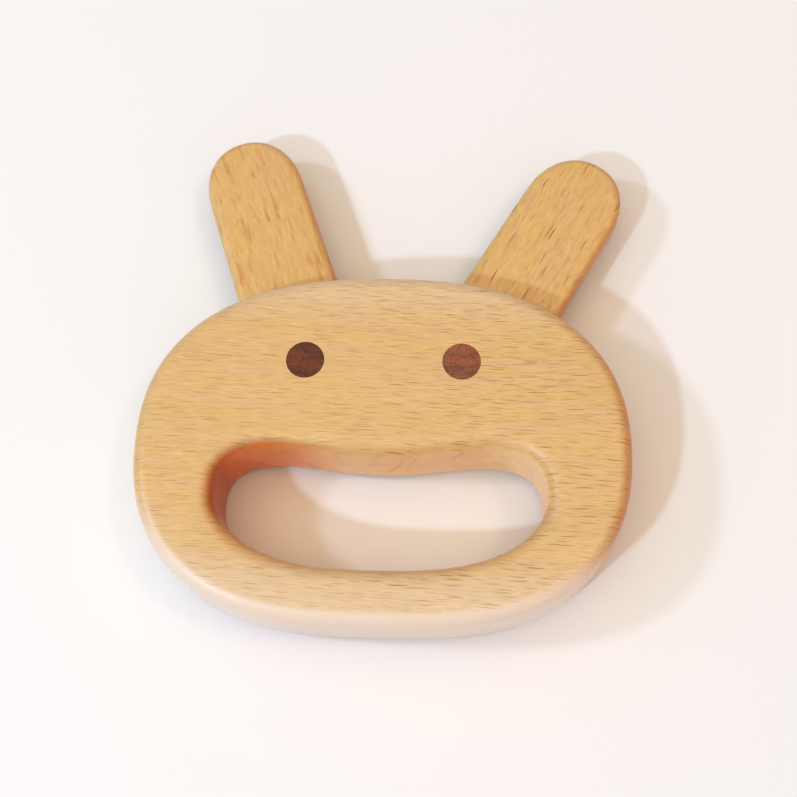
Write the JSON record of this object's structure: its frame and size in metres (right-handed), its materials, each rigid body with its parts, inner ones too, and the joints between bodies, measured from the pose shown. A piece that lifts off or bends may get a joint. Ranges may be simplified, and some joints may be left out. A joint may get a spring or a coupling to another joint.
{
  "type": "teething ring",
  "caption": "Flat wooden teether shaped as a rabbit's head, with a smiling grip hole and swinging ears on round wooden pins.",
  "frame": {"origin": "on the back face, midway between the axes of the two ear pins", "axes": "+Z out of the front face, +Y up the face towards the ears, +X from pin to pin, to the right as seen from the front"},
  "size_m": [0.1025, 0.1121, 0.02],
  "materials": {
    "head_beech": "sanded, rounded over and oiled, satin",
    "ear_beech": "sanded, rounded over and oiled, satin",
    "pin_walnut": "end grain sanded flush and oiled, satin"
  },
  "bodies": {
    "head": {"head": "head_beech", "ear_pin_left": "pin_walnut", "ear_pin_right": "pin_walnut"},
    "ear_left": {"ear_left": "ear_beech"},
    "ear_right": {"ear_right": "ear_beech"}
  },
  "joints": [
    {"name": "left_ear_swing", "type": "hinge", "parent": "head", "child": "ear_left", "pos_m": [-0.01625, 0, 0.0085], "axis": [0, 0, 1], "range_deg": [-19.4, 25.6]},
    {"name": "right_ear_swing", "type": "hinge", "parent": "head", "child": "ear_right", "pos_m": [0.01625, 0, 0.0085], "axis": [0, 0, -1], "range_deg": [-30.4, 14.6]}
  ]
}
